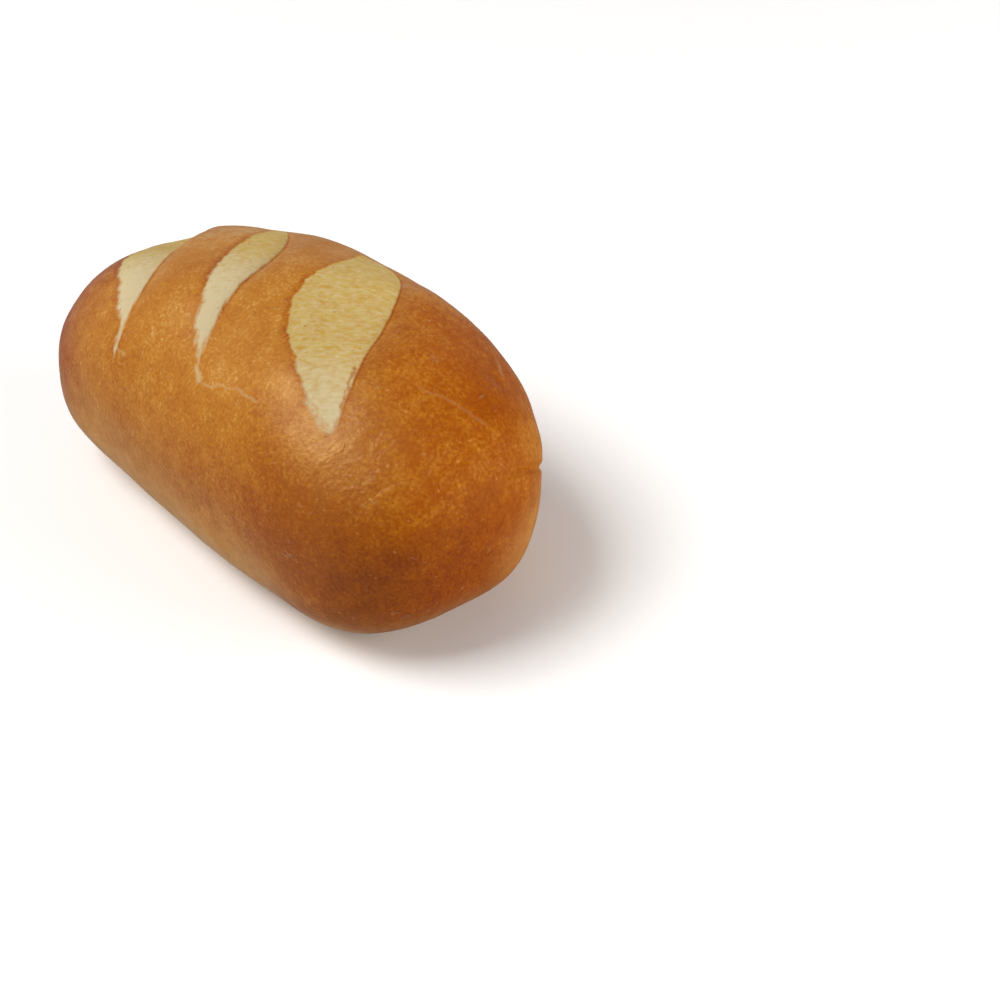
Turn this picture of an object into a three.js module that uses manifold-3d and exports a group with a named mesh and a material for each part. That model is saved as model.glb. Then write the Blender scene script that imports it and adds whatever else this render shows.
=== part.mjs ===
// A sub roll: one plump oblong loaf with a flat base, a gentle bow along its length,
// a fuller end, and three slanting slashes that opened while it baked.
// Millimetres, +Z up. X runs along the loaf with the fuller end at +X, and the base is on z = 0.

import * as THREE from 'three';
import { mergeVertices } from 'three/addons/utils/BufferGeometryUtils.js';
import Module from 'manifold-3d';

// Driving dimensions of the loaf, before its base is pressed flat
const LENGTH = 150;
const WIDTH = 80;
const HEIGHT = 68;
const WIDEST_AT = 30.5;
const BASE_CUT = 2.4;
const BOW = 6.8;

// How square the loaf is in plan, over the crown and under the belly (2 is an ellipse)
const PLAN_POWER = 2.58;
const CROWN_POWER = 2.1;
const BELLY_POWER = 3.2;

// Share by which the +X end is wider and higher than the middle, and the -X end less so
const WIDTH_TAPER = 0.05;
const HEIGHT_TAPER = 0.09;
const BOW_BALANCE = 0.4;

// Slashes in plan: where the blade went in and where it came out, then how far the cut opened to its
// -X side, where the crust feathers out, and to its +X side, under the lip. A side has its largest
// distance from the blade's line, how late it opens from the tip and closes at the end, and how far
// the crust flaked off round the tip.
const SLASHES = [
  {
    tip: [-24.5, -31.7],
    end: [-58, 17],
    feather: { half: 13.6, early: 1.69, late: 0.62, flaked: 0.2 },
    lip: { half: 2.9, early: 0.91, late: 1.95, flaked: 0.2 },
  },
  {
    tip: [4.1, -25.6],
    end: [-33.3, 25.8],
    feather: { half: 4.7, early: 1.04, late: 1.64, flaked: 0.6 },
    lip: { half: 7.8, early: 1.84, late: 1.07, flaked: 0.6 },
  },
  {
    tip: [49.3, -20.4],
    end: [-1.9, 26.6],
    feather: { half: 13.2, early: 1.82, late: 2.02, flaked: 3.4 },
    lip: { half: 12.1, early: 1.37, late: 0.55, flaked: 0.8 },
  },
];

// Shares of a slash's length: where that flaking has its full width, and where it fades out
const FLAKE_FULL = 0.05;
const FLAKE_FADE = [0.12, 0.35];

// The slash's floor: its depth at the feathered side, the drop to the lip and how late that comes,
// how far the crumb swelled in between, and how far each side is cut at the tip
const SLASH_FEATHER = 0.35;
const SLASH_LIP = 2.6;
const SLASH_SLOPE = 1.5;
const SLASH_BULGE = 0.4;
const SLASH_TIP_HALF = 0.4;

// How far the crust rounds down to a lip, over what distance, and the share of the slash's length
// from which that fades out towards its end
const SHOULDER = 1.7;
const SHOULDER_REACH = 6.5;
const SHOULDER_FADE_FROM = 0.8;

// The pinch at the fuller end, where the dough was sealed: a groove along a line across the end
const PINCH_FROM = [65.5, 23.8, 36.1];
const PINCH_TO = [72, 11.2, 41.6];
const PINCH_DEPTH = 1.1;
const PINCH_HALF_WIDTH = 1.5;

// Hand-rolled unevenness: two crossing waves of lumps, the second longer, and where each wave starts
const LUMP_HEIGHT = 0.5;
const LUMP_LENGTH = 40;
const LUMP_START = { x: 0.7, y: -0.4, slanting: 2 };
const LUMP_SLANT = 0.6;

// Mesh steps
const LOAF_STEPS = { x: 45, y: 26, z: 18 };
const SLASH_STEPS = { along: 28, across: 7 };
const PINCH_STEPS = { around: 20, along: 10 };

const wasm = await Module();
wasm.setup();

/** Length of a pair of numbers in the given power, where 2 is the usual length. */
function powerLength(a, b, power) {
  return (Math.abs(a) ** power + Math.abs(b) ** power) ** (1 / power);
}

/** Sideways shift of the loaf's middle line at a share of its half length. */
function bowShift(along) {
  return -BOW * (along ** 2 - BOW_BALANCE);
}

/** Height at a point in plan as a share of the middle's: the taper and low, wide lumps from rolling. */
function heightShare(x, y) {
  const turn = (2 * Math.PI) / LUMP_LENGTH;
  const square = Math.sin(turn * x + LUMP_START.x) * Math.cos(turn * y + LUMP_START.y);
  const lumps = square + Math.sin(LUMP_SLANT * turn * (x - y) + LUMP_START.slanting);
  return 1 + (HEIGHT_TAPER * 2 * x) / LENGTH + (LUMP_HEIGHT * lumps) / HEIGHT;
}

/** The plain loaf's surface in a direction from its heart: a crown over a flatter belly. */
function loafPoint(direction) {
  const point = direction.clone().multiply(new THREE.Vector3(LENGTH, WIDTH, HEIGHT).multiplyScalar(0.5));
  const overCrown = point.z > 0;
  const rise = overCrown ? HEIGHT - WIDEST_AT : WIDEST_AT;
  const plan = powerLength((2 * point.x) / LENGTH, (2 * point.y) / WIDTH, PLAN_POWER);
  point.divideScalar(powerLength(plan, point.z / rise, overCrown ? CROWN_POWER : BELLY_POWER));
  const along = (2 * point.x) / LENGTH;
  point.y = point.y * (1 + WIDTH_TAPER * along) + bowShift(along);
  point.z = (point.z + WIDEST_AT) * heightShare(point.x, point.y);
  return point;
}

/** Height of the plain crown over a point in plan. */
function crownHeight(x, y) {
  const along = (2 * x) / LENGTH;
  const side = (2 * (y - bowShift(along))) / (WIDTH * (1 + WIDTH_TAPER * along));
  const plan = Math.min(powerLength(along, side, PLAN_POWER), 1);
  const rise = (HEIGHT - WIDEST_AT) * (1 - plan ** CROWN_POWER) ** (1 / CROWN_POWER);
  return (WIDEST_AT + rise) * heightShare(x, y);
}

/** Distance of a slash's side from its line at a share of its length. */
function sideDistance(share, { half, early, late, flaked }) {
  const peak = early / (early + late);
  const torn = (half * share ** early * (1 - share) ** late) / (peak ** early * (1 - peak) ** late);
  const kept = THREE.MathUtils.smoothstep(share, ...FLAKE_FADE);
  return torn + flaked * Math.sqrt(Math.min(share / FLAKE_FULL, 1)) * (1 - kept);
}

/** A slash's frame in plan: its tip, its run to the end, and the direction aside towards -X. */
function slashFrame({ tip, end }) {
  const start = new THREE.Vector2(...tip);
  const run = new THREE.Vector2(...end).sub(start);
  return { start, run, aside: new THREE.Vector2(-run.y, run.x).normalize() };
}

/** Both sides of a slash at a share of its length, and how far it has opened there. */
function slashSides(share, slash) {
  const feather = sideDistance(share, slash.feather);
  const lip = sideDistance(share, slash.lip);
  return { feather, lip, open: Math.min((feather + lip) / (slash.feather.half + slash.lip.half), 1) };
}

/** How far the crust sinks beside a slash: down its floor's slope, then rounding off beyond the lip. */
function sink(point, slash) {
  const { start, run, aside } = slashFrame(slash);
  const from = new THREE.Vector2(point.x, point.y).sub(start);
  const share = from.dot(run) / run.lengthSq();
  if (share <= 0 || share >= 1) return 0;
  const { feather, lip, open } = slashSides(share, slash);
  const crossed = Math.max((feather - from.dot(aside)) / (feather + lip), 0);
  const beyond = Math.max(-from.dot(aside) - lip, 0);
  const left = Math.max(1 - beyond / SHOULDER_REACH, 0);
  const fade = 1 - THREE.MathUtils.smoothstep(share, SHOULDER_FADE_FROM, 1);
  return SHOULDER * open * fade * Math.min(crossed, 1) ** SLASH_SLOPE * left ** 2;
}

/** A closed geometry with only its positions, each shared corner kept once. */
function welded(geometry) {
  geometry.deleteAttribute('normal');
  geometry.deleteAttribute('uv');
  return mergeVertices(geometry);
}

/** Moves every corner of a geometry by a function of its place. */
function reshape(geometry, move) {
  const position = geometry.attributes.position;
  const corner = new THREE.Vector3();
  for (let i = 0; i < position.count; i += 1) {
    const moved = move(corner.fromBufferAttribute(position, i), i);
    position.setXYZ(i, moved.x, moved.y, moved.z);
  }
  return geometry;
}

function solidOf(geometry) {
  return new wasm.Manifold(new wasm.Mesh({
    numProp: 3,
    vertProperties: new Float32Array(geometry.attributes.position.array),
    triVerts: new Uint32Array(geometry.index.array),
  }));
}

/** The loaf before slashing: a box's grid blown up to it, with the crown sunk beside the slashes. */
function loafSolid() {
  const grid = welded(new THREE.BoxGeometry(2, 2, 2, LOAF_STEPS.x, LOAF_STEPS.y, LOAF_STEPS.z));
  const evenly = (share) => Math.tan((Math.PI / 4) * share);
  return solidOf(reshape(grid, (c) => {
    const point = loafPoint(new THREE.Vector3(evenly(c.x), evenly(c.y), evenly(c.z)).normalize());
    if (c.z > 0) for (const slash of SLASHES) point.z -= sink(point, slash);
    return point;
  }));
}

/** What a slash takes off the crust: feathered out on its -X side, under a lip on its +X side. */
function slashSolid(slash) {
  const { start, run, aside } = slashFrame(slash);
  const grid = welded(new THREE.BoxGeometry(1, 2, 2, SLASH_STEPS.along, SLASH_STEPS.across, 1));
  return solidOf(reshape(grid, (c) => {
    const share = c.x + 0.5;
    const crossed = (1 - c.y) / 2;
    const { feather, lip, open } = slashSides(share, slash);
    const near = Math.max(feather, SLASH_TIP_HALF);
    const far = Math.max(lip, SLASH_TIP_HALF);
    const offset = near - crossed * (near + far);
    const at = start.clone().addScaledVector(run, share).addScaledVector(aside, offset);
    const drop = SLASH_LIP * crossed ** SLASH_SLOPE - SLASH_BULGE * 4 * crossed * (1 - crossed);
    const floor = crownHeight(at.x, at.y) - SLASH_FEATHER - open * drop;
    return new THREE.Vector3(at.x, at.y, c.z < 0 ? floor : 2 * HEIGHT);
  }));
}

/** What the pinch takes off: a flattened ball drawn out along its line, pressed in square to the end. */
function pinchSolid() {
  const from = new THREE.Vector3(...PINCH_FROM);
  const along = new THREE.Vector3(...PINCH_TO).sub(from).multiplyScalar(0.5);
  const middle = from.clone().add(along);
  const heart = new THREE.Vector3((LENGTH - WIDTH) / 2, bowShift(1 - WIDTH / LENGTH), WIDEST_AT);
  const across = middle.clone().sub(heart).cross(along).setLength(PINCH_HALF_WIDTH);
  const inward = along.clone().cross(across).setLength(PINCH_DEPTH);
  const ball = welded(new THREE.SphereGeometry(1, PINCH_STEPS.around, PINCH_STEPS.along));
  const place = new THREE.Matrix4().makeBasis(along, across, inward).setPosition(middle);
  return solidOf(ball.applyMatrix4(place));
}

/** Everything under the height at which the tray pressed the loaf flat. */
function traySolid() {
  const tray = new THREE.BoxGeometry(2 * LENGTH, 2 * WIDTH, HEIGHT).translate(0, 0, BASE_CUT - HEIGHT / 2);
  return solidOf(welded(tray));
}

/** The finished loaf as one geometry, centred over its base. */
function rollGeometry() {
  let loaf = loafSolid().subtract(traySolid()).subtract(pinchSolid());
  for (const slash of SLASHES) loaf = loaf.subtract(slashSolid(slash));
  const { vertProperties, triVerts } = loaf.getMesh();
  const geometry = new THREE.BufferGeometry();
  geometry.setAttribute('position', new THREE.BufferAttribute(vertProperties, 3));
  geometry.setIndex(new THREE.BufferAttribute(triVerts, 1));
  geometry.computeBoundingBox();
  const { min, max } = geometry.boundingBox;
  return geometry.translate(-(min.x + max.x) / 2, -(min.y + max.y) / 2, -min.z);
}

const CRUST = { name: 'crust', color: '#bd7a35', roughness: 0.5, metalness: 0 };

const roll = new THREE.Mesh(rollGeometry(), new THREE.MeshStandardMaterial(CRUST));
roll.name = 'roll';

const subRoll = new THREE.Group();
subRoll.name = 'sub_roll';
subRoll.add(roll);

export default subRoll;
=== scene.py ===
"""A sub roll with a satin golden crust and three slashes that opened to pale crumb.

The loaf is one surface worked out from the same named sizes as its solid, in metres, with +X along the
loaf to its fuller end and +Z up. Places on it are given in the dough's frame, which has the tray at z = 0
before the belly is pressed flat. The finished loaf is then centred in plan and set down on z = 0, which is
the solid's frame.
"""

import itertools
import math
from collections import namedtuple
from functools import partial

import bpy
import numpy as np
from mathutils import Matrix, Vector


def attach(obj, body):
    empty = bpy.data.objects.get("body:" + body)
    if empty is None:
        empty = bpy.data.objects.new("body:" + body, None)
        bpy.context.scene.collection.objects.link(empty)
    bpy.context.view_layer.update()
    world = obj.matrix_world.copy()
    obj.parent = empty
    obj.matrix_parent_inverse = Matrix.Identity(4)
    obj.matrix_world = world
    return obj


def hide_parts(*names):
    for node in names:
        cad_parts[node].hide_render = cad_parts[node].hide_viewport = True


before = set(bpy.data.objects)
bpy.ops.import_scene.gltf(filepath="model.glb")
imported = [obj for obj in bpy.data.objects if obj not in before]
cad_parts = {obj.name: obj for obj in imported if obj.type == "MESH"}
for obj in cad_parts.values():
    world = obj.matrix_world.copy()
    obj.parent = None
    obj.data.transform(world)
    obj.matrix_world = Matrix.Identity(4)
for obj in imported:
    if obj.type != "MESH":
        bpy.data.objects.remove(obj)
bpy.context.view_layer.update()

bl_info = {
    "name": "Sub roll",
    "version": (1, 0, 0),
    "blender": (4, 5, 0),
    "location": "View3D > Sidebar > Sub roll",
    "description": "Shapes and bakes a slashed sub roll and sets it on a pale stage",
    "category": "Object",
}

MM = 0.001
SENSOR = 36

# Distance into a slash that stands for a place outside them all
FAR_OUT = 50 * MM

Side = namedtuple("Side", "half early late flaked")
Slash = namedtuple("Slash", "tip end feather lip pale")
Press = namedtuple("Press", "place height reach")
Scratch = namedtuple("Scratch", "start end width strength")
SlashPlace = namedtuple("SlashPlace", "share along offset opening in_feather in_lip aside")
Zone = namedtuple("Zone", "share x y z ridge", defaults=(None,) * 4)

# Slashes in plan, in millimetres: where the blade went in and where it came out, then how far the cut
# opened to the -X side, where the crust feathers out, and to the +X side, under the lip. A side has its
# largest distance from the blade's line, how late it opens from the tip and closes at the end, and how far
# the crust flaked off round the tip. Last is how much further along the crumb is bleached.
SLASHES = (
    Slash((-24.5, -31.7), (-58.0, 17.0), Side(13.6, 1.69, 0.62, 0.2), Side(2.9, 0.91, 1.95, 0.2), 0.27),
    Slash((4.1, -25.6), (-33.3, 25.8), Side(4.7, 1.04, 1.64, 0.6), Side(7.8, 1.84, 1.07, 0.6), 0.22),
    Slash((49.3, -20.4), (-1.9, 26.6), Side(13.2, 1.82, 2.02, 3.4), Side(12.1, 1.37, 0.55, 0.8), -0.08),
)

# Shares of a slash's length: where the flaking round its tip is at its full width, and where it fades out
FLAKE_FULL = 0.05
FLAKE_FADE = (0.35, 0.12)

# Shares of a slash's length that its sides are worked out between, as their slopes are endless at its ends
SHARE_HELD = (0.001, 0.999)

# Over which distances from a slash's edge, outside to inside, the crust gives way to the floor, and the
# least width that the floor is taken to have
EDGE_SPAN = (-0.35 * MM, 0.45 * MM)
FLOOR_LEAST = 0.1 * MM

# The finer wander of a torn edge: how many times as close, and its share of the height
RAGGED_FINER = 3
RAGGED_SHARE = 0.6

# How far apart the slashes' crumb patterns are taken, so that no two are alike
CRUMB_APART = 100 * MM

# How bleached the crumb is at a slash's tip, from 0 to 1
TIP_PALE = 0.85

# Lumps left by hand rolling: where each wave starts along X, Y and the slant, and how many times as close
# the slanting waves are
LUMP_START = (0.7, -0.4, 2)
LUMP_SLANT = 0.6

# The mesh: steps of a box's grid, how far the directions through it lean up, so that the crown has more of
# them, and from which share of the widest section's height a place is on the crown
GRID_STEPS = (196, 106, 94)
GRID_LEAN = 0.28
CROWN_FROM = 1.15

# Grid lines drawn to a lip: from how far, the share of its distance that the nearest keeps, and the shares
# of the slash's length over which that starts and stops
DRAWN_REACH = 2.4 * MM
DRAWN_SHARE = 0.3
DRAWN_FROM = (0.03, 0.12)
DRAWN_TO = (0.97, 0.88)

# Seeds of the random heights, and how far apart two slashes' seeds are
SEEDS = {"swell": 11, "ripple": 12, "pimple": 13, "drift": 14, "fold": 15, "rim": 21, "slash": 100}
SEED_STEP = 10

# Where hands and tray left the loaf a little full or flat, in millimetres: the place, how far the surface
# stands out there and how wide that is
PRESSES = (
    Press((-12, 29, 58), 0.6, 14),
    Press((50, 33, 44), 0.6, 9),
    Press((71, 15, 25), -0.8, 8),
    Press((70, 9, 14), 0.6, 9),
    Press((72, -15, 18), -0.8, 10),
    Press((56, -28, 11), 0.9, 12),
    Press((30, -36, 17), -0.6, 12),
    Press((-53, -32, 20), 1.9, 13),
    Press((-38, -35, 19), 0.8, 9),
    Press((-65, -20.5, 40.5), -1.1, 11),
    Press((-55.5, 8.5, 52.4), -2, 8.5),
    Press((-50.5, 14.5, 54.3), 0.6, 5),
    Press((61, 28, 37), 0.5, 5),
)

# Pale scratches in the crust, in millimetres: from where to where, how wide, and how clear from 0 to 1
SCRATCHES = (
    Scratch((3.6, -25.8, 57.5), (8.8, -28.6, 55.3), 1.1, 0.6),
    Scratch((8.2, -28.6, 55.3), (21.5, -26.3, 58.6), 0.5, 0.3),
    Scratch((20.0, -26.4, 58.5), (29.0, -26.0, 59.0), 0.35, 0.3),
    Scratch((51.0, 0.0, 62.5), (65.5, 10.0, 53.0), 0.7, 0.09),
    Scratch((46.0, 27.5, 54.0), (53.0, 24.5, 53.5), 0.5, 0.2),
    Scratch((-20.5, -31.5, 50.0), (-26.5, -30.0, 50.0), 0.5, 0.4),
    Scratch((38.0, -19.8, 62.3), (49.5, -21.2, 58.7), 1.5, 0.85),
)

# Where the crust is browner or paler, in millimetres: the share's name, the spans along X, Y and Z over
# which it comes in, and the middle and spread of a bell along Y
BROWNED = (
    Zone("end", x=(5, 65)),
    Zone("far", x=(-35, -70)),
    Zone("flank", z=(60, 36)),
    # Partly deeper browning, partly painted shade low on the fuller end's -Y side
    Zone("low", x=(20, 70), z=(54, 30), ridge=(-15, 25)),
    Zone("back", x=(15, 45), y=(0, 25), z=(42, 58)),
    Zone("crest", x=(-10, -35), y=(-15, 8)),
    Zone("cheek", x=(35, 65), y=(-5, 20), z=(56, 40)),
)

# Where the crust is paler, in the same way; on the -Y flank this is partly a paler foot and partly painted
# sheen
PALE_AND_SHEEN_FLANK = Zone("side", x=(55, 25), y=(-18, -32))
PALE_FOOT = Zone("foot", x=(35, 60), z=(24, 8))
PALE_CHEEK = Zone("foot", x=(35, 60), y=(-5, 12), z=(36, 20))


def linear(hex_colour):
    """An sRGB hex colour as linear red, green and blue."""
    shares = [int(hex_colour[i:i + 2], 16) / 255 for i in (1, 3, 5)]
    return [s / 12.92 if s <= 0.04045 else ((s + 0.055) / 1.055) ** 2.4 for s in shares]


def length_of(name, description, millimetres):
    """A length property, given in millimetres and held in metres."""
    return bpy.props.FloatProperty(
        name=name, description=description, default=millimetres * MM, unit="LENGTH", precision=4)


def share_of(name, description, default):
    """A property without a unit."""
    return bpy.props.FloatProperty(name=name, description=description, default=default, precision=3)


def angle_of(name, description, degrees):
    """An angle property, given in degrees and held in radians."""
    return bpy.props.FloatProperty(
        name=name, description=description, default=math.radians(degrees), subtype="ANGLE")


def place_of(name, description, millimetres):
    """A place property, given in millimetres and held in metres."""
    return bpy.props.FloatVectorProperty(
        name=name, description=description, default=[m * MM for m in millimetres],
        subtype="TRANSLATION", unit="LENGTH", precision=4)


def colour_of(name, description, hex_colour):
    """A colour property, given as sRGB hex and held as linear light."""
    return bpy.props.FloatVectorProperty(
        name=name, description=description, default=linear(hex_colour), subtype="COLOR", min=0, max=1)


class LoafSizes(bpy.types.PropertyGroup):
    """Sizes of the loaf before its base is pressed flat."""

    length: length_of("Length", "End to end", 150)
    width: length_of("Width", "Across the middle", 80)
    height: length_of("Height", "Tray to crown at the middle", 68)
    widest_at: length_of("Widest at", "Height of the widest section", 30.5)
    base_cut: length_of("Base cut", "How much of the belly the tray pressed flat", 2.4)
    bow: length_of("Bow", "How far the loaf bends sideways", 6.8)
    bow_balance: share_of("Bow balance", "Squared share of the half length that the bow turns about", 0.4)
    plan_power: share_of("Plan power", "How square the loaf is in plan, 2 being an ellipse", 2.58)
    crown_power: share_of("Crown power", "How square the loaf is over its crown", 2.1)
    belly_power: share_of("Belly power", "How square the loaf is under its belly", 3.2)
    width_taper: share_of("Width taper", "Share by which the +X end is wider", 0.05)
    height_taper: share_of("Height taper", "Share by which the +X end is higher", 0.09)
    lump_height: length_of("Lump height", "Height of the lumps left by hand rolling", 0.5)
    lump_length: length_of("Lump length", "Spacing of those lumps", 40)


class SlashSizes(bpy.types.PropertyGroup):
    """How the slashes opened in the oven."""

    lip: length_of("Lip", "How far the floor drops to the lip on the +X side", 1.85)
    feather: length_of("Feather", "Thickness of the crust torn back on the -X side", 0.3)
    slope: share_of("Slope", "How late the floor drops towards the lip", 1.5)
    bulge: length_of("Bulge", "How far the crumb swelled in the middle of the floor", 0.4)
    shoulder: length_of("Shoulder", "How far the crust rounds down to the lip", 2.1)
    shoulder_reach: length_of("Shoulder reach", "How far from the lip that rounding runs", 6.5)
    ragged: length_of("Ragged", "How far the torn edges wander", 0.4)
    ragged_length: length_of("Ragged length", "Spacing of that wander along the edge", 2.6)
    fade_from: share_of("Fade from", "Share of the slash's length from which the lip fades", 0.8)
    fibre: length_of("Fibre", "Height of the stretched crumb's folds", 0.08)
    fibre_width: length_of("Fibre width", "Spacing of the folds", 1.7)
    fibre_length: length_of("Fibre length", "How far a fold runs across the slash", 3.4)
    toast_reach: length_of("Toast reach", "Width of the browned band beside the feathered edge", 2.6)


class SkinSizes(bpy.types.PropertyGroup):
    """Pinch, wrinkles and unevenness of the crust."""

    pinch_at: place_of("Pinch", "Middle of the crease where the dough was sealed", (69.7, 16.3, 40.8))
    pinch_fall: share_of("Pinch fall", "How steeply the crease falls towards +Y", 0.6)
    pinch_bend: length_of("Pinch bend", "Square of a distance over the fall that bending adds there", 38)
    pinch_depth: length_of("Pinch depth", "Depth of the crease", 1.2)
    pinch_width: length_of("Pinch width", "Half width of the crease", 0.8)
    pinch_reach: length_of("Pinch reach", "How far the crease fades out towards -Y", 14)
    pinch_stop: length_of("Pinch stop", "How far the crease runs towards +Y", 18)
    dent_at: place_of("Dent", "Middle of a small dent on the +X shoulder", (54.2, 21.5, 54.8))
    dent_depth: length_of("Dent depth", "Depth of that dent", 0.5)
    dent_width: length_of("Dent width", "Half width of that dent", 2.4)
    wrinkle_at: place_of("Wrinkles", "Middle of the wrinkled patch on the +X end", (64, -6.5, 54))
    wrinkle_reach: length_of("Wrinkle reach", "Half length of the wrinkled patch", 23)
    wrinkle_band: length_of("Wrinkle band", "Half height of the wrinkled patch", 11)
    wrinkle_height: length_of("Wrinkle height", "Height of the broad wrinkles", 0.5)
    wrinkle_width: length_of("Wrinkle width", "Spacing of the broad wrinkles", 3)
    wrinkle_length: length_of("Wrinkle length", "How far a broad wrinkle runs", 9)
    wrinkle_along: bpy.props.FloatVectorProperty(
        name="Wrinkle run", description="Direction in which the wrinkles run", default=(0.16, 0.87, 0.47))
    wrinkle_across: bpy.props.FloatVectorProperty(
        name="Wrinkle step", description="Direction from one wrinkle to the next",
        default=(-0.75, -0.2, 0.63))
    swell: length_of("Swell", "Height of the widest unevenness", 0.24)
    swell_length: length_of("Swell length", "Spacing of the widest unevenness", 17)
    ripple: length_of("Ripple", "Height of the middling unevenness", 0.1)
    ripple_length: length_of("Ripple length", "Spacing of the middling unevenness", 7)
    pimple: length_of("Pimple", "Height of the finest unevenness", 0.03)
    pimple_length: length_of("Pimple length", "Spacing of the finest unevenness", 2)


class BakeShares(bpy.types.PropertyGroup):
    """How brown the crust is, from 0 pale golden to 1 dark, with painted shade, sheen and highlight where
    noted.
    """

    middle: share_of("Middle", "Over the crown's middle", 0.35)
    end: share_of("End", "Added towards the fuller end", 0.21)
    far: share_of("Far end", "Added towards the slimmer end", 0.42)
    flank: share_of("Flank", "Added below the crown", 0.09)
    # Partly deeper browning, partly painted shade low on the fuller end's -Y side
    low: share_of("Low", "Added low on the fuller end's -Y side", 0.2)
    back: share_of("Back", "Added behind the last slash", 0.16)
    crest: share_of("Crest", "Added between the ends of the first two slashes, less being paler", -0.1)
    cheek: share_of("Cheek", "Added low on the fuller end's +Y side, less being paler", -0.18)
    toast: share_of("Toast", "Added in the band beside a slash's feathered edge", 0.22)
    rim: share_of("Rim", "How pale the rim is over the tray", 0.6)
    rim_height: length_of("Rim height", "Height of the pale rim", 7)
    sole_edge: length_of("Sole edge", "Height over the browned sole where the pale rim starts", 1.5)
    rim_lift: length_of("Rim lift", "How much higher the rim is at the fuller end's -Y corner", 7)
    rim_corner: place_of("Rim corner", "Where the rim is that much higher, in plan", (58, -30, 0))
    rim_reach: length_of("Rim reach", "How far round that corner it is higher", 24)
    rim_fade: length_of("Rim fade", "How far that rim fades upwards", 5)
    rim_waver: length_of("Rim waver", "How far that rim wavers", 3.5)
    rim_length: length_of("Rim length", "Spacing of that waver", 11)
    foot: share_of("Foot", "How pale the foot of the fuller end is", 0.24)
    # Partly painted sheen: the -Y flank's foot is made paler where a white room would show at a grazing
    # angle
    side: share_of("Side", "How pale the foot of the -Y flank is", 0.6)
    side_height: length_of("Side height", "Up to where that flank is paler", 36)
    # Painted highlight: paler crust in a bell about the last slash's tip stands in for its satin sheen
    painted_highlight: share_of("Painted highlight", "How pale the stretched crust is at the last slash's tip", 0.16)
    painted_highlight_at: place_of("Painted highlight at", "Middle of that stretched crust", (53, -21, 57))
    painted_highlight_reach: length_of("Painted highlight reach", "Half width of that stretched crust", 13)


class CrustColours(bpy.types.PropertyGroup):
    """Colours of the baked surface."""

    pale: colour_of("Pale", "Underbaked crust by the tray", "#c89b58")
    golden: colour_of("Golden", "Lightly baked crust", "#ae6f1c")
    brown: colour_of("Brown", "Well baked crust", "#944a02")
    dark: colour_of("Dark", "The most baked crust", "#7a3100")
    speckle: colour_of("Speckle", "Dry blisters", "#cf9c60")
    crumb: colour_of("Crumb", "Slash floors", "#b19346")
    crumb_light: colour_of("Light crumb", "Strands, tips of the slashes, and scratches", "#bfae88")
    crumb_toast: colour_of("Toasted crumb", "Browned patches of a slash's floor", "#ab7b26")
    # Painted shade in the crumb's small holes
    pore_shade: colour_of("Pore shade", "Small holes in the crumb", "#84622c")
    gloss: colour_of("Gloss", "Tint of the crust's satin sheen", "#ffe2a8")


class StageSettings(bpy.types.PropertyGroup):
    """Camera, lights, room and floor."""

    azimuth: angle_of("Azimuth", "Camera's bearing round the loaf, 0 looking along +Y", 57.96)
    elevation: angle_of("Elevation", "Camera's height over the horizon", 34.73)
    roll: angle_of("Roll", "Camera's turn about its own axis", -2.35)
    distance: length_of("Distance", "From the loaf's heart to the camera", 446.6)
    heart: place_of("Heart", "Point that the camera's bearing is taken round", (0, -2.5, 31.6))
    aim: place_of("Aim", "Point in the middle of the picture", (43.8, 26.9, 7.2))
    lens: bpy.props.FloatProperty(name="Lens", description="Focal length on a 36 mm sensor", default=65)
    floor: colour_of("Floor", "The pale floor", "#f6f5f3")
    floor_size: length_of("Floor size", "Side of the floor", 4000)
    key_at: place_of("Key light", "Overhead softbox", (-490, -740, 1380))
    key_size: length_of("Key size", "Side of the overhead softbox", 1000)
    key_power: bpy.props.FloatProperty(name="Key power", description="In watts", default=27.7)
    fill_at: place_of("Fill light", "Low softbox on the right of the camera", (620, 430, 60))
    fill_size: length_of("Fill size", "Side of the low softbox", 700)
    fill_power: bpy.props.FloatProperty(name="Fill power", description="In watts", default=11.2)
    room: share_of("Room light", "Strength of the white light from the room's bright side", 0.345)
    shade: share_of("Room shade", "Strength of the white light from the other side", 0.09)
    room_side: bpy.props.FloatVectorProperty(
        name="Room side", description="Direction towards the room's bright side", default=(-0.8, -0.35, 0.3))
    room_turn: share_of("Room turn", "How far along that direction bright turns to shade", 0.3)


def power_length(a, b, power):
    """Length of a pair in the given power: the power's root of the sum of both sides raised to it."""
    return (np.abs(a) ** power + np.abs(b) ** power) ** (1 / power)


def ease(low, high, value):
    """A smooth step from 0 at low to 1 at high."""
    share = np.clip((value - low) / (high - low), 0, 1)
    return share * share * (3 - 2 * share)


def bell(value, middle, spread):
    """A bell curve: 1 at the middle, falling off over the spread."""
    return np.exp(-((value - middle) / spread) ** 2)


def soft_noise(places, size, seed):
    """Smooth random heights from -1 to 1.

    Seeded random values stand on a cubic lattice with the given spacing, and a place between them takes
    their mix by eased shares along each axis.
    """
    wrap = 32
    values = np.random.default_rng(seed).uniform(-1, 1, (wrap, wrap, wrap))
    scaled = places / size
    cell = np.floor(scaled).astype(int)
    share = ease(0, 1, scaled - cell)
    total = np.zeros(len(places))
    for corner in itertools.product((0, 1), repeat=3):
        weight = np.prod(np.where(corner, share, 1 - share), axis=1)
        total += weight * values[tuple(((cell + corner) % wrap).T)]
    return total


def drawn_noise(along, across, long, short, seed):
    """Smooth random heights on two coordinates, with spots that are long one way and short the other."""
    return soft_noise(np.stack([along / long, across / short, np.zeros_like(along)], axis=1), 1, seed)


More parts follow.
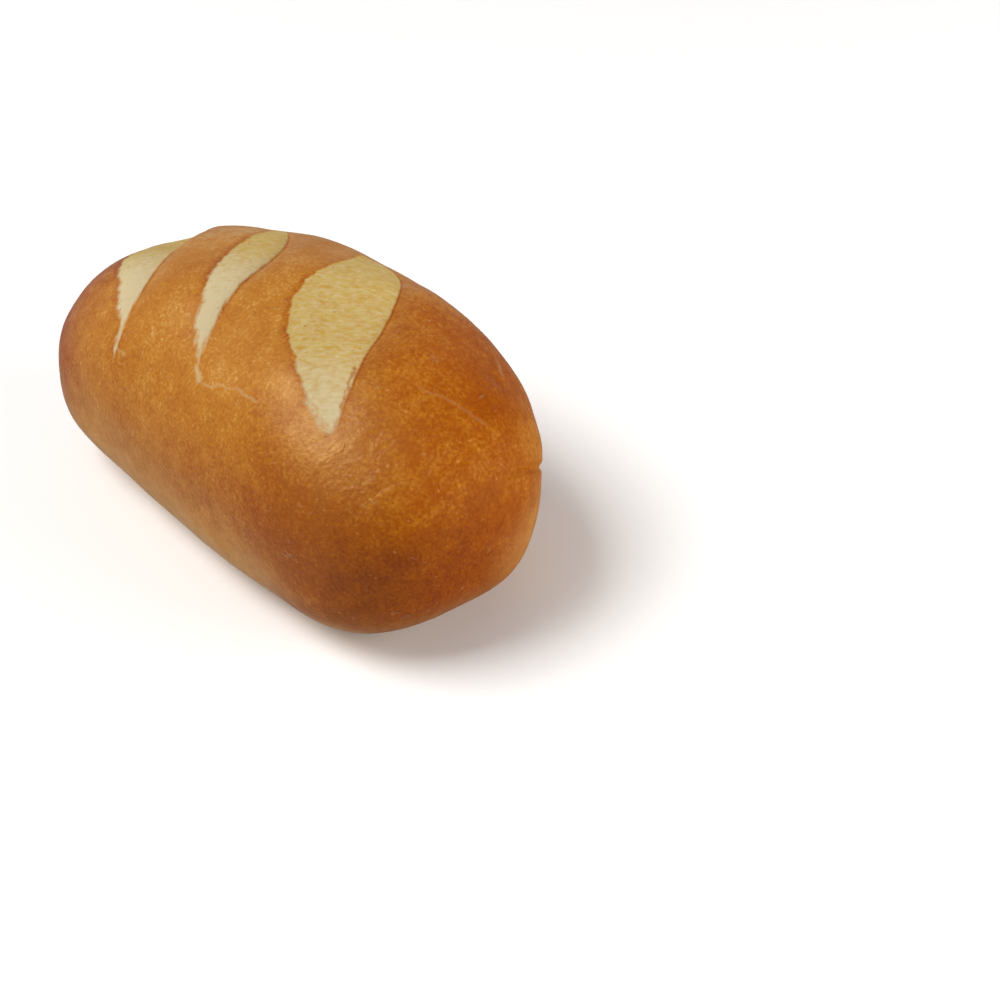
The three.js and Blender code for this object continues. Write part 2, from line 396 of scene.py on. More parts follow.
def box_lattice(steps):
    """Corners and four-sided faces of a box's skin, counted in whole steps along X, Y and Z.

    Each side is a grid of two counts with the third held at 0 or at its last step. Corners that sides
    share are kept once, so the skin is closed, and faces are wound to point outwards.
    """
    corners = []
    faces = []
    start = 0
    for axis, at_end in itertools.product(range(3), (False, True)):
        across, up = (axis + 1) % 3, (axis + 2) % 3
        i, j = np.meshgrid(np.arange(steps[across] + 1), np.arange(steps[up] + 1), indexing="ij")
        side = np.empty((i.size, 3), int)
        side[:, axis] = steps[axis] if at_end else 0
        side[:, across] = i.ravel()
        side[:, up] = j.ravel()
        index = start + np.arange(i.size).reshape(i.shape)
        loop = [index[:-1, :-1], index[1:, :-1], index[1:, 1:], index[:-1, 1:]]
        faces.append(np.stack([c.ravel() for c in (loop if at_end else loop[::-1])], axis=1))
        corners.append(side)
        start += i.size
    kept, place = np.unique(np.concatenate(corners), axis=0, return_inverse=True)
    return kept, place.ravel()[np.concatenate(faces)]


def corner_normals(points, faces):
    """Outward unit normals at the corners: the mean of the cross products of the faces' diagonals there."""
    cross = np.cross(points[faces[:, 2]] - points[faces[:, 0]], points[faces[:, 3]] - points[faces[:, 1]])
    total = np.stack([
        np.bincount(faces.ravel(), np.repeat(cross[:, axis], 4), len(points)) for axis in range(3)], axis=1)
    return total / np.linalg.norm(total, axis=1, keepdims=True)


def bow_shift(along, loaf):
    """Sideways shift of the loaf's middle line: a parabola over its length."""
    return -loaf.bow * (along ** 2 - loaf.bow_balance)


def height_share(x, y, loaf):
    """Height in plan as a share of the middle's: a straight taper and two crossing waves of lumps."""
    turn = 2 * np.pi / loaf.lump_length
    lumps = np.sin(turn * x + LUMP_START[0]) * np.cos(turn * y + LUMP_START[1])
    lumps = lumps + np.sin(LUMP_SLANT * turn * (x - y) + LUMP_START[2])
    return 1 + loaf.height_taper * 2 * x / loaf.length + loaf.lump_height * lumps / loaf.height


def crown_height(x, y, loaf):
    """Height of the crown over a point in plan, by the same powers as the whole loaf."""
    along = 2 * x / loaf.length
    side = 2 * (y - bow_shift(along, loaf)) / (loaf.width * (1 + loaf.width_taper * along))
    plan = np.minimum(power_length(along, side, loaf.plan_power), 1)
    rise = (loaf.height - loaf.widest_at) * (1 - plan ** loaf.crown_power) ** (1 / loaf.crown_power)
    return (loaf.widest_at + rise) * height_share(x, y, loaf)


def loaf_surface(directions, loaf):
    """The plain loaf in each direction from its heart.

    A direction is stretched to the loaf's half sizes and cut to length so that its plan length and its
    height, each a share of the loaf's own, have a power length of 1. The crown and the belly have powers
    and heights of their own. Taper, bow and lumps follow.
    """
    point = directions * np.array([loaf.length, loaf.width, loaf.height]) / 2
    over_crown = point[:, 2] > 0
    rise = np.where(over_crown, loaf.height - loaf.widest_at, loaf.widest_at)
    power = np.where(over_crown, loaf.crown_power, loaf.belly_power)
    plan = power_length(2 * point[:, 0] / loaf.length, 2 * point[:, 1] / loaf.width, loaf.plan_power)
    point /= power_length(plan, point[:, 2] / rise, power)[:, None]
    x, y, z = point.T
    along = 2 * x / loaf.length
    y = y * (1 + loaf.width_taper * along) + bow_shift(along, loaf)
    return np.stack([x, y, (z + loaf.widest_at) * height_share(x, y, loaf)], axis=1)


def side_distance(share, side, length):
    """Distance of a slash's side from its line, and how much longer the side is there than the line.

    The distance is the share run raised to one power times the share left raised to another, scaled so
    that its peak is the side's half width. Round the tip, flaked crust sets the side further out, by a
    square root of the share run at first.
    """
    peak = side.early / (side.early + side.late)
    top = peak ** side.early * (1 - peak) ** side.late
    distance = side.half * MM * share ** side.early * (1 - share) ** side.late / top
    slope = distance * (side.early / share - side.late / (1 - share)) / length
    flaked = side.flaked * MM * np.sqrt(np.minimum(share / FLAKE_FULL, 1)) * ease(*FLAKE_FADE, share)
    return distance + flaked, np.sqrt(1 + slope ** 2)


def slash_place(x, y, slash, wander):
    """Where plan points lie on a slash.

    Share and distance along the blade's line, distance aside of it, how far the cut has opened there as a
    share of its widest, and distances inside the feathered side and inside the lip, square to each side.
    """
    tip = np.array(slash.tip) * MM
    run = np.array(slash.end) * MM - tip
    length = np.linalg.norm(run)
    aside = np.array([-run[1], run[0]]) / length
    share = ((x - tip[0]) * run[0] + (y - tip[1]) * run[1]) / length ** 2
    offset = (x - tip[0]) * aside[0] + (y - tip[1]) * aside[1]
    held = np.clip(share, *SHARE_HELD)
    feather, feather_slant = side_distance(held, slash.feather, length)
    lip, lip_slant = side_distance(held, slash.lip, length)
    opening = np.minimum((feather + lip) / ((slash.feather.half + slash.lip.half) * MM), 1)
    beyond = np.maximum(-share, share - 1) * length
    in_feather = np.minimum((feather - offset) / feather_slant + wander(share * length), -beyond)
    in_lip = np.minimum((offset + lip) / lip_slant, -beyond)
    return SlashPlace(share, share * length, offset, opening, in_feather, in_lip, aside)


def no_wander(along):
    """A side that keeps to its curve."""
    return 0


def shape_slash(points, over, slash, sizes, seed, apart):
    """One slash's depth under the loaf's surface, and its fields for the material.

    Across the slash the floor starts just under the feathered crust, swells a little and drops to the lip
    by a power of the share crossed. Beyond the lip the crust rounds down to it by a square of the distance
    left.
    """
    def wander(along):
        ragged = drawn_noise(along, 0 * along, sizes.ragged_length, 1, seed)
        finer = drawn_noise(along, 0 * along, sizes.ragged_length / RAGGED_FINER, 1, seed + 1)
        return sizes.ragged * (ragged + RAGGED_SHARE * finer)

    at = slash_place(points[:, 0], points[:, 1], slash, wander)
    inside = np.where(over, np.minimum(at.in_feather, at.in_lip), -FAR_OUT)
    crossed = np.clip(at.in_feather / np.maximum(at.in_feather + at.in_lip, FLOOR_LEAST), 0, 1)
    fibres = drawn_noise(at.along, at.offset, sizes.fibre_width, sizes.fibre_length, seed + 2)
    fade = ease(1, sizes.fade_from, at.share)
    floor = sizes.feather + sizes.lip * fade * crossed ** sizes.slope
    floor = (floor - sizes.bulge * 4 * crossed * (1 - crossed) + sizes.fibre * fibres) * at.opening
    left = np.clip(1 + at.in_lip / sizes.shoulder_reach, 0, 1) ** 2 * fade
    beside = over & (at.in_lip < at.in_feather) & (at.share > 0) & (at.share < 1)
    shoulder = np.where(beside, sizes.shoulder * at.opening * left, 0)
    within = ease(*EDGE_SPAN, inside)
    toast = ease(-sizes.toast_reach, 0, at.in_feather) * (at.in_lip > 0)
    toast = np.where(over, toast, 0) * at.opening
    depth = shoulder * (1 - within) + floor * within
    run = np.stack([at.along + apart, at.offset, at.share - slash.pale], axis=1)
    return depth, inside, crossed, toast, run


def draw_to_lips(points, over, loaf):
    """Draws grid lines towards each slash's lip, so that its edge is crisp: the nearer, the more."""
    x, y, z = points.T.copy()
    for slash in SLASHES:
        at = slash_place(x, y, slash, no_wander)
        drawn = at.in_lip * (DRAWN_SHARE + (1 - DRAWN_SHARE) * np.abs(at.in_lip) / DRAWN_REACH)
        near = over & (np.abs(at.in_lip) < DRAWN_REACH)
        held = ease(*DRAWN_FROM, at.share) * ease(*DRAWN_TO, at.share)
        shift = np.where(near, (drawn - at.in_lip) * held, 0)
        x = x + shift * at.aside[0]
        y = y + shift * at.aside[1]
    return np.stack([x, y, np.where(over, crown_height(x, y, loaf), z)], axis=1)


def crease_depth(points, skin):
    """The sealed end's crease and a dent: bells about a falling parabola, eased at its ends, and a point."""
    x, y, z = points.T
    gone = y - skin.pinch_at[1]
    line = skin.pinch_at[2] - skin.pinch_fall * gone - gone ** 2 / skin.pinch_bend
    along = ease(-skin.pinch_reach, 0, gone) * ease(skin.pinch_stop, 0.5 * skin.pinch_stop, gone)
    crease = skin.pinch_depth * bell(z, line, skin.pinch_width) * along
    gap = np.linalg.norm(points - np.array(skin.dent_at), axis=1)
    return np.where(x > 0, crease, 0) + skin.dent_depth * bell(gap, 0, skin.dent_width)


def press_height(points):
    """Where the loaf is full or flat: the sum of bells about places."""
    total = np.zeros(len(points))
    for press in PRESSES:
        gap = np.linalg.norm(points - np.array(press.place) * MM, axis=1)
        total += press.height * MM * bell(gap, 0, press.reach * MM)
    return total


def wrinkle_place(points, skin):
    """Distances along and across the wrinkles, and how wrinkled the crust is, from 0 to 1.

    The distances are lengths along two directions, the second with a drift of noise. The patch is a bell
    about its middle times a bell about its height.
    """
    centre = np.array(skin.wrinkle_at)
    along = points @ np.array(skin.wrinkle_along)
    drift = skin.wrinkle_width * soft_noise(points, skin.wrinkle_length, SEEDS["drift"])
    across = points @ np.array(skin.wrinkle_across) + drift
    patch = bell(np.linalg.norm(points - centre, axis=1), 0, skin.wrinkle_reach)
    return np.stack([along, across, patch * bell(points[:, 2], centre[2], skin.wrinkle_band)], axis=1)


def skin_height(points, skin):
    """Unevenness of the crust: three octaves of noise, and in one patch folds with creases between them.

    A crease lies where drawn-out noise crosses 0, and the folds rise from it by the noise's size.
    """
    swell = skin.swell * soft_noise(points, skin.swell_length, SEEDS["swell"])
    ripple = skin.ripple * soft_noise(points, skin.ripple_length, SEEDS["ripple"])
    pimple = skin.pimple * soft_noise(points, skin.pimple_length, SEEDS["pimple"])
    along, across, patch = wrinkle_place(points, skin).T
    fold = drawn_noise(along, across, skin.wrinkle_length, skin.wrinkle_width, SEEDS["fold"])
    return swell + ripple + pimple + skin.wrinkle_height * np.abs(fold) * patch


def zone_share(points, zone):
    """How far places are in a zone: the product of its eased spans along the axes and its bell along Y."""
    share = np.ones(len(points))
    for values, span in zip(points.T / MM, (zone.x, zone.y, zone.z)):
        if span:
            share *= ease(*span, values)
    if zone.ridge:
        share *= bell(points[:, 1] / MM, *zone.ridge)
    return share


def bake_share(points, bake):
    """How brown the crust is, with painted shade low on the fuller end: the share over the crown's middle
    and what each zone adds.
    """
    return bake.middle + sum(getattr(bake, zone.share) * zone_share(points, zone) for zone in BROWNED)


def pale_and_sheen_share(points, loaf, bake):
    """How pale the crust is: the most of a wavering rim over the tray, the foot of the -Y flank, partly
    painted sheen, the foot of the fuller end, and a painted highlight in a bell about the last slash's tip.
    The sole browned on the tray."""
    z = points[:, 2]
    from_corner = np.linalg.norm((points - np.array(bake.rim_corner))[:, :2], axis=1)
    lift = bake.rim_lift * bell(from_corner, 0, bake.rim_reach)
    wavered = z - lift + bake.rim_waver * soft_noise(points, bake.rim_length, SEEDS["rim"])
    rim = bake.rim * ease(bake.rim_height + bake.rim_fade, bake.rim_height - bake.rim_fade, wavered)
    # The -Y flank's foot: partly paler crust, partly painted sheen
    flank = bake.side * ease(bake.side_height, bake.rim_height, wavered) * zone_share(points, PALE_AND_SHEEN_FLANK)
    foot = bake.foot * np.maximum(zone_share(points, PALE_FOOT), zone_share(points, PALE_CHEEK))
    # Painted highlight: paler crust in a bell about the last slash's tip
    from_tip = np.linalg.norm(points - np.array(bake.painted_highlight_at), axis=1)
    painted_highlight = bake.painted_highlight * bell(from_tip, 0, bake.painted_highlight_reach)
    pale = np.maximum.reduce([rim, flank, foot, painted_highlight])
    return pale * ease(loaf.base_cut, loaf.base_cut + bake.sole_edge, z)


def loaf_mesh(loaf, sizes, skin, bake):
    """The finished loaf's mesh, with its fields for the material as attributes, and its shift from the
    dough's frame."""
    steps = np.array(GRID_STEPS)
    counts, faces = box_lattice(steps)
    directions = np.tan(np.pi / 4 * (2 * counts / steps - 1))
    directions /= np.linalg.norm(directions, axis=1, keepdims=True)
    directions[:, 2] += GRID_LEAN
    points = loaf_surface(directions / np.linalg.norm(directions, axis=1, keepdims=True), loaf)
    middle = (points.min(axis=0) + points.max(axis=0)) / 2
    shift = np.array([-middle[0], -middle[1], -loaf.base_cut])
    over = points[:, 2] > CROWN_FROM * loaf.widest_at
    points = draw_to_lips(points, over, loaf)
    normals = corner_normals(points, faces)
    depth = crease_depth(points, skin) - skin_height(points, skin) - press_height(points)
    # Browning, and painted shade low on the fuller end's -Y side
    browned = bake_share(points, bake)
    crumb = np.full(len(points), -FAR_OUT)
    crossed = np.zeros(len(points))
    run = np.zeros((len(points), 3))
    for number, slash in enumerate(SLASHES):
        apart = CRUMB_APART * (len(SLASHES) - 1 - number)
        seed = SEEDS["slash"] + SEED_STEP * number
        cut, inside, across, toast, place = shape_slash(points, over, slash, sizes, seed, apart)
        depth += cut
        browned += bake.toast * toast
        better = inside > crumb
        crumb = np.where(better, inside, crumb)
        crossed = np.where(better, across, crossed)
        run = np.where(better[:, None], place, run)
    # Paler crust, with painted sheen on the -Y flank's foot and a painted highlight by the last slash's tip
    rim = pale_and_sheen_share(points, loaf, bake)
    wrinkles = wrinkle_place(points, skin)
    points = points - normals * depth[:, None]
    points[:, 2] = np.maximum(points[:, 2], loaf.base_cut)
    points += shift
    mesh = bpy.data.meshes.new("roll_crust")
    mesh.from_pydata(points, [], faces)
    for name, values in (("crumb", crumb), ("crossed", crossed), ("bake", browned), ("rim", rim)):
        mesh.attributes.new(name, "FLOAT", "POINT").data.foreach_set("value", values.astype(np.float32))
    for name, values in (("slash_run", run), ("wrinkle_run", wrinkles)):
        field = mesh.attributes.new(name, "FLOAT_VECTOR", "POINT")
        field.data.foreach_set("vector", values.astype(np.float32).ravel())
    mesh.shade_smooth()
    mesh.validate()
    return mesh, Vector(shift)


def add_node(tree, kind, inputs=None, stops=None, **settings):
    """Adds a shader node with its settings, links or sets its inputs, fills a colour ramp's stops, and
    returns its outputs."""
    made = tree.nodes.new("ShaderNode" + kind)
    for name, value in settings.items():
        setattr(made, name, value)
    for socket, value in (inputs or {}).items():
        if isinstance(value, bpy.types.NodeSocket):
            tree.links.new(value, made.inputs[socket])
        else:
            made.inputs[socket].default_value = value
    for number, (place, colour) in enumerate(stops or ()):
        ramp = made.color_ramp.elements
        stop = ramp[number] if number < 2 else ramp.new(place)
        stop.position = place
        stop.color = (*colour, 1)
    return made.outputs


def scratch_frame(scratch, shift):
    """A scratch's frame on the finished loaf, with X along it and Z outwards, and half its length."""
    start = Vector(scratch.start) * MM
    run = Vector(scratch.end) * MM - start
    along = run.normalized()
    across = start.cross(along).normalized()
    axes = Matrix((along, across, along.cross(across))).transposed().to_4x4()
    return Matrix.Translation(start + run / 2 + shift) @ axes, run.length / 2


def baked_skin(node, place, bake, colours):
    """Colour of the crust before it was marked, and three noises that its other looks go by.

    Browning varies in patches of 16 mm and 4.5 mm and in grain of 0.9 mm, all clearer where the crust is
    browner. Less browned spots of 0.8 mm gather in patches of 4 mm, and a few dry blisters lie on top, one
    at most in a cell of 2 mm.
    """
    patch = node("TexNoise", {"Vector": place, "Scale": 1 / (16 * MM), "Detail": 2})["Fac"]
    mottle = node("TexNoise", {
        "Vector": place, "Scale": 1 / (4.5 * MM), "Detail": 3, "Roughness": 0.6})["Fac"]
    grain = node("TexNoise", {
        "Vector": place, "Scale": 1 / (0.9 * MM), "Detail": 3, "Roughness": 0.6})["Fac"]
    lively = node("MapRange", {
        "Value": bake, "From Min": 0.35, "From Max": 0.8, "To Min": 1.0, "To Max": 1.7})[0]
    browned = bake
    for noise, share in ((patch, 0.26), (mottle, 0.35), (grain, 0.55)):
        level = node("Math", {0: noise, 1: 0.5}, operation="SUBTRACT")[0]
        level = node("Math", {0: level, 1: share}, operation="MULTIPLY")[0]
        browned = node("Math", {0: level, 1: lively, 2: browned}, operation="MULTIPLY_ADD")[0]

    spots = node("TexNoise", {"Vector": place, "Scale": 1 / (0.8 * MM), "Detail": 1})["Fac"]
    spots = node("MapRange", {"Value": spots, "From Min": 0.5, "From Max": 0.75, "To Max": 0.17})[0]
    gather = node("TexNoise", {"Vector": place, "Scale": 1 / (4 * MM), "Detail": 2})["Fac"]
    gather = node("MapRange", {"Value": gather, "From Min": 0.38, "From Max": 0.65, "To Min": 0.15})[0]
    spots = node("Math", {0: spots, 1: gather}, operation="MULTIPLY")[0]
    browned = node("Math", {0: browned, 1: spots}, operation="SUBTRACT")[0]
    skin = node("ValToRGB", {"Fac": browned}, stops=(
        (0.05, colours.pale), (0.3, colours.golden), (0.6, colours.brown), (1.0, colours.dark)))["Color"]

    cells = node("TexVoronoi", {"Vector": place, "Scale": 1 / (2 * MM)})
    chance = node("SeparateColor", {"Color": cells["Color"]})["Red"]
    radius = node("MapRange", {"Value": chance, "From Min": 0.7, "From Max": 1.0, "To Max": 0.2})[0]
    inner = node("Math", {0: radius, 1: cells["Distance"]}, operation="SUBTRACT")[0]
    dots = node("MapRange", {"Value": inner, "From Min": -0.06, "From Max": 0.1, "To Max": 0.3})[0]
    skin = node("Mix", {0: dots, 6: skin, 7: (*colours.speckle, 1)}, data_type="RGBA")[2]
    return skin, mottle, grain, gather


def stretch_marks(node, place):
    """How clear hairline stretch marks are: noise of 6 mm crosses its middle there, and noise of 4 mm breaks
    them up."""
    marks = node("TexNoise", {
        "Vector": place, "Scale": 1 / (6 * MM), "Detail": 2, "Distortion": 0.8})["Fac"]
    ridge = node("Math", {0: marks, 1: 0.5}, operation="SUBTRACT")[0]
    ridge = node("Math", {0: ridge}, operation="ABSOLUTE")[0]
    hair = node("MapRange", {"Value": ridge, "From Min": 0.028, "From Max": 0.0, "To Max": 0.2})[0]
    gate = node("TexNoise", {"Vector": place, "Scale": 1 / (4 * MM)})["Fac"]
    gate = node("MapRange", {"Value": gate, "From Min": 0.62, "From Max": 0.7})[0]
    return node("Math", {0: hair, 1: gate}, operation="MULTIPLY")[0]


def scratch_marks(node, place, grain, shift):
    """How clear each scratch is: a band in a frame of its own, wavering and broken up by noise.

    It fades over the last of its length, and between 6 and 12 mm under the crust, so that it shows on one
    side of the loaf alone.
    """
    waver = node("TexNoise", {"Vector": place, "Scale": 1 / (4 * MM), "Detail": 3})["Fac"]
    waver = node("MapRange", {"Value": waver, "To Min": -1.6 * MM, "To Max": 1.6 * MM})[0]
    broken = node("MapRange", {"Value": grain, "From Min": 0.35, "From Max": 0.55, "To Min": 0.3})[0]
    bands = []
    for scratch in SCRATCHES:
        frame_at, half = scratch_frame(scratch, shift)
        local = node("Mapping", {
            "Vector": place, "Location": frame_at.to_translation(), "Rotation": frame_at.to_euler()},
            vector_type="TEXTURE")["Vector"]
        axes = node("SeparateXYZ", {"Vector": local})
        aside = node("Math", {0: axes["Y"], 1: waver}, operation="ADD")[0]
        aside = node("Math", {0: aside}, operation="ABSOLUTE")[0]
        width = scratch.width * MM
        band = node("MapRange", {
            "Value": aside, "From Min": width, "From Max": 0.3 * width, "To Max": scratch.strength})[0]
        run_out = node("Math", {0: axes["X"]}, operation="ABSOLUTE")[0]
        run_out = node("MapRange", {"Value": run_out, "From Min": half, "From Max": 0.7 * half})[0]
        near = node("MapRange", {"Value": axes["Z"], "From Min": -12 * MM, "From Max": -6 * MM})[0]
        for share in (run_out, near, broken):
            band = node("Math", {0: band, 1: share}, operation="MULTIPLY")[0]
        bands.append(band)
    return bands


def crumb_floor(node, place, run, colours):
    """Colour of a slash's floor, its strands, and how bleached it is towards the tip.

    Soft blotches of 3 by 4 mm and strands of 1 by 2 mm are drawn out across the slash. Dark pores of up to
    0.4 mm, painted shade in small holes, lie one at most in a cell of 2.4 mm.
    """
    broad = node("Mapping", {"Vector": run, "Scale": (1 / (3 * MM), 1 / (4 * MM), 0)})["Vector"]
    blotch = node("TexNoise", {"Vector": broad, "Scale": 1, "Detail": 3, "Roughness": 0.55})["Fac"]
    toasted = node("MapRange", {"Value": blotch, "From Min": 0.4, "From Max": 0.72, "To Max": 0.75})[0]
    weave = node("Mapping", {"Vector": run, "Scale": (1 / (1 * MM), 1 / (2 * MM), 0)})["Vector"]
    strands = node("TexNoise", {
        "Vector": weave, "Scale": 1, "Detail": 3, "Roughness": 0.6, "Distortion": 0.5})["Fac"]
    pale = node("MapRange", {"Value": strands, "From Min": 0.36, "From Max": 0.72, "To Max": 0.7})[0]
    tip = node("SeparateXYZ", {"Vector": run})["Z"]
    tip = node("MapRange", {"Value": tip, "From Min": 0.4, "From Max": 0.05, "To Max": TIP_PALE})[0]
    pale = node("Math", {0: pale, 1: tip}, operation="ADD", use_clamp=True)[0]
    floor = node("Mix", {
        0: toasted, 6: (*colours.crumb, 1), 7: (*colours.crumb_toast, 1)}, data_type="RGBA")[2]
    floor = node("Mix", {0: pale, 6: floor, 7: (*colours.crumb_light, 1)}, data_type="RGBA")[2]

    # Painted shade in small holes of the crumb
    holes = node("TexVoronoi", {"Vector": place, "Scale": 1 / (2.4 * MM)})
    chance = node("SeparateColor", {"Color": holes["Color"]})["Red"]
    size = node("MapRange", {"Value": chance, "From Min": 0.6, "From Max": 1.0, "To Max": 0.15})[0]
    inner = node("Math", {0: size, 1: holes["Distance"]}, operation="SUBTRACT")[0]
    pore_shades = node("MapRange", {"Value": inner, "From Min": -0.04, "From Max": 0.06, "To Max": 0.6})[0]
    floor = node("Mix", {0: pore_shades, 6: floor, 7: (*colours.pore_shade, 1)}, data_type="RGBA")[2]
    return floor, strands, tip


def torn_share(node, crumb, crossed, run, tip, mottle, gather):
    """How far the crumb shows, from 0 under the crust to 1.

    The tear is ragged where the crust feathers out, in threads of 1.1 by 5 mm at its tip, and clean at the
    lip, where the crust covers the crumb by 0.5 mm. A strand of crust is left 1.1 mm inside the last slash's
    lip, within 22 mm of its tip.
    """
    threads = node("Mapping", {"Vector": run, "Scale": (1 / (5 * MM), 1 / (1.1 * MM), 0)})["Vector"]
    threads = node("TexNoise", {"Vector": threads, "Scale": 1, "Detail": 2, "Distortion": 0.4})["Fac"]
    threads = node("Math", {0: threads, 1: 0.5}, operation="SUBTRACT")[0]
    reach = node("Math", {0: tip, 1: 2.3 * MM}, operation="MULTIPLY")[0]
    torn = node("Math", {0: threads, 1: reach, 2: crumb}, operation="MULTIPLY_ADD")[0]
    torn = node("Math", {0: crossed, 1: -0.5 * MM, 2: torn}, operation="MULTIPLY_ADD")[0]
    rough_edge = node("Math", {0: mottle, 1: 0.5}, operation="SUBTRACT")[0]
    ragged = node("MapRange", {"Value": crossed, "To Min": 1.8 * MM, "To Max": 0.4 * MM})[0]
    torn = node("Math", {0: rough_edge, 1: ragged, 2: torn}, operation="MULTIPLY_ADD")[0]
    soft = node("MapRange", {
        "Value": tip, "From Max": TIP_PALE, "To Min": 0.3 * MM, "To Max": 0.8 * MM})[0]
    opened = node("MapRange", {"Value": torn, "From Min": -0.2 * MM, "From Max": soft})[0]

    strand = node("Math", {0: rough_edge, 1: 2.4 * MM, 2: crumb}, operation="MULTIPLY_ADD")[0]
    strand = node("Math", {0: strand, 1: 1.1 * MM}, operation="SUBTRACT")[0]
    strand = node("Math", {0: strand}, operation="ABSOLUTE")[0]
    strand = node("MapRange", {
        "Value": strand, "From Min": 0.55 * MM, "From Max": 0.1 * MM, "To Max": 0.65})[0]
    by_lip = node("MapRange", {"Value": crossed, "From Min": 0.5, "From Max": 0.6})[0]
    along = node("SeparateXYZ", {"Vector": run})["X"]
    by_tip = node("MapRange", {"Value": along, "From Min": 22 * MM, "From Max": 16 * MM})[0]
    apart = node("MapRange", {"Value": gather, "From Min": 0.3, "From Max": 0.6})[0]
    for share in (by_lip, by_tip, apart):
        strand = node("Math", {0: strand, 1: share}, operation="MULTIPLY")[0]
    return node("Math", {0: opened, 1: strand}, operation="SUBTRACT", use_clamp=True)[0]


def crust_relief(node, grain, strands, opened, folds):
    """Normals of the finest relief: the crust's grain, the crumb's strands where it shows, and wrinkles of 3
    by 7 mm on the fuller end, with creases where their noise crosses its middle."""
    relief = node("Bump", {"Height": grain, "Distance": 0.3 * MM, "Strength": 0.6})["Normal"]
    relief = node("Bump", {
        "Height": strands, "Distance": 0.06 * MM, "Strength": opened, "Normal": relief})["Normal"]
    creased = node("Mapping", {"Vector": folds, "Scale": (1 / (7 * MM), 1 / (3 * MM), 0)})["Vector"]
    creased = node("TexNoise", {"Vector": creased, "Scale": 1, "Detail": 2, "Distortion": 0.4})["Fac"]
    creased = node("Math", {0: creased, 1: 0.5}, operation="SUBTRACT")[0]
    creased = node("Math", {0: creased}, operation="ABSOLUTE")[0]
    creased = node("MapRange", {"Value": creased, "From Max": 0.3})[0]
    wrinkled = node("SeparateXYZ", {"Vector": folds})["Z"]
    return node("Bump", {
        "Height": creased, "Distance": 0.35 * MM, "Strength": wrinkled, "Normal": relief})["Normal"]


def crust_material(colours, shift):
    """Baked milk-bread crust: a thin satin skin that browned unevenly, speckled with tiny dry blisters and
    crossed by hairline stretch marks. In the slashes it tore, and the matt, fibrous crumb shows."""
    material = bpy.data.materials.new("baked_crust")
    material.use_nodes = True
    tree = material.node_tree
    tree.nodes.clear()
    node = partial(add_node, tree)
    place = node("TexCoord")["Object"]
    crumb, crossed, bake, rim = (
        node("Attribute", attribute_name=name)["Fac"]
        for name in ("crumb", "crossed", "bake", "rim"))
    run, folds = (
        node("Attribute", attribute_name=name)["Vector"]
        for name in ("slash_run", "wrinkle_run"))

    skin, mottle, grain, gather = baked_skin(node, place, bake, colours)
    marks = stretch_marks(node, place)
    for band in scratch_marks(node, place, grain, shift):
        marks = node("Math", {0: marks, 1: band}, operation="MAXIMUM")[0]
    skin = node("Mix", {0: marks, 6: skin, 7: (*colours.crumb_light, 1)}, data_type="RGBA")[2]
    # Paler rim over the tray, the -Y flank's foot, partly painted sheen, and a painted highlight by the last
    # slash's tip
    skin = node("Mix", {0: rim, 6: skin, 7: (*colours.pale, 1)}, data_type="RGBA")[2]
    floor, strands, tip = crumb_floor(node, place, run, colours)
    opened = torn_share(node, crumb, crossed, run, tip, mottle, gather)
    colour = node("Mix", {0: opened, 6: skin, 7: floor}, data_type="RGBA")[2]

    # Satin on the crust, matt where it is bare
    satin = node("MapRange", {
        "Value": mottle, "From Min": 0.3, "From Max": 0.7, "To Min": 0.3, "To Max": 0.43})[0]
    bare = node("Math", {0: opened, 1: marks}, operation="MAXIMUM")[0]
    rough = node("Mix", {0: bare, 2: satin, 3: 0.85})[0]
    surface = node("BsdfPrincipled", {
        "Base Color": colour, "Roughness": rough, "IOR": 1.45, "Specular IOR Level": 0.5,
        "Specular Tint": (*colours.gloss, 1), "Normal": crust_relief(node, grain, strands, opened, folds)})
    node("OutputMaterial", {"Surface": surface["BSDF"]})
    return material


def floor_material(colour):
    """Matt painted board: an even pale surface with the faintest unevenness in its tone."""
    material = bpy.data.materials.new("painted_board")
    material.use_nodes = True
    tree = material.node_tree
    tree.nodes.clear()
    node = partial(add_node, tree)
    place = node("TexCoord")["Object"]
    cloud = node("TexNoise", {"Vector": place, "Scale": 1 / (120 * MM)})["Fac"]
    faint = [0.98 * c for c in colour]
    tone = node("Mix", {0: cloud, 6: (*colour, 1), 7: (*faint, 1)}, data_type="RGBA")[2]
    surface = node("BsdfPrincipled", {"Base Color": tone, "Roughness": 0.85})
    node("OutputMaterial", {"Surface": surface["BSDF"]})
    return material


def add_object(name, data):
    """An object at the origin, linked to the scene."""
    made = bpy.data.objects.new(name, data)
    bpy.context.scene.collection.objects.link(made)
    return made


class SUBROLL_OT_loaf(bpy.types.Operator):
    """Shapes the loaf, bakes its crust and puts it in place of its plain solid"""

    bl_idname = "sub_roll.loaf"
    bl_label = "Shape the loaf"

    def execute(self, context):
        scene = context.scene
        mesh, shift = loaf_mesh(
            scene.sub_roll_loaf, scene.sub_roll_slash, scene.sub_roll_skin, scene.sub_roll_bake)
        mesh.materials.append(crust_material(scene.sub_roll_colours, shift))
        piece = add_object("roll_crust", mesh)
        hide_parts("roll")
        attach(piece, "root")
        return {"FINISHED"}


def look_from(place, aim, roll):
    """Matrix of a camera or light at a place that faces an aim point, turned about its axis by roll."""
    turn = (aim - place).to_track_quat("-Z", "Y").to_matrix().to_4x4()
    return Matrix.Translation(place) @ turn @ Matrix.Rotation(roll, 4, "Z")


def add_softbox(name, place, aim, side, watts):
    """A square area light."""
    lamp = bpy.data.lights.new(name, "AREA")
    lamp.size = side
    lamp.energy = watts
    box = add_object(name, lamp)
    box.matrix_world = look_from(Vector(place), aim, 0)
    return box


